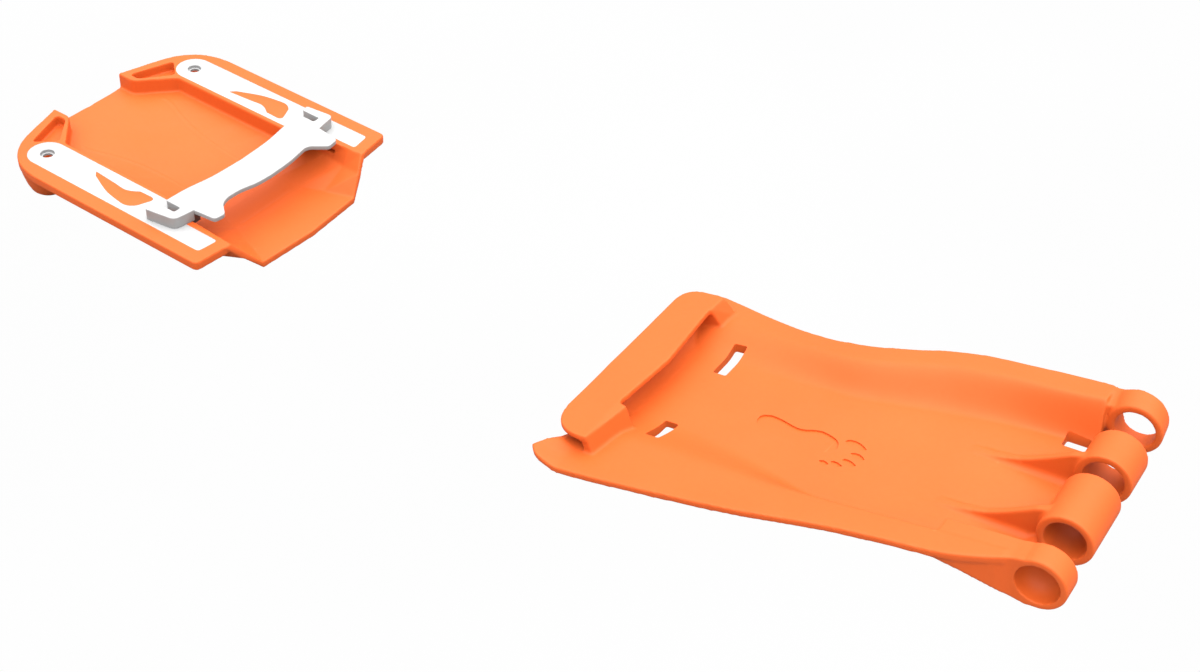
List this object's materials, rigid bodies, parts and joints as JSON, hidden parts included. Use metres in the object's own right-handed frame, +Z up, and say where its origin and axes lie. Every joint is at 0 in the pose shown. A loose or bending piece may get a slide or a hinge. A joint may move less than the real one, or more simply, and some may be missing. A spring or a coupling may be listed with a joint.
{
  "type": "touring binding",
  "caption": "Ski-touring binding in two moulded units: a heel receiver with glide rails and a sliding latch, and a foot plate that pivots on hinge knuckles at the toe.",
  "frame": {"origin": "on the hinge axis of the foot plate's knuckles, over the centreline of the heel receiver", "axes": "+X towards the toe, +Y towards the inner (big-toe) side of a right foot, +Z up from the ski"},
  "size_m": [0.5812, 0.1474, 0.0771],
  "materials": {
    "orange_nylon": "satin moulded nylon",
    "white_acetal": "smooth low-friction plastic",
    "grey_acetal": "smooth low-friction plastic",
    "steel": "zinc plated"
  },
  "bodies": {
    "receiver": {"heel_tray": "orange_nylon", "glide_rail_left": "white_acetal", "glide_rail_right": "white_acetal", "rail_inlay_left": "orange_nylon", "rail_inlay_right": "orange_nylon"},
    "latch": {"latch_bar": "white_acetal", "latch_runner_left": "grey_acetal", "latch_runner_right": "grey_acetal", "runner_screws": "steel"},
    "plate": {"foot_plate": "orange_nylon"}
  },
  "joints": [
    {"name": "latch_slide", "type": "slide", "parent": "receiver", "child": "latch", "axis": [1, 0, 0], "range_m": [0, 0.012]},
    {"name": "plate_hinge", "type": "hinge", "parent": "receiver", "child": "plate", "pos_m": [0, 0, 0], "axis": [0, 1, 0], "range_deg": [0, 90]}
  ]
}
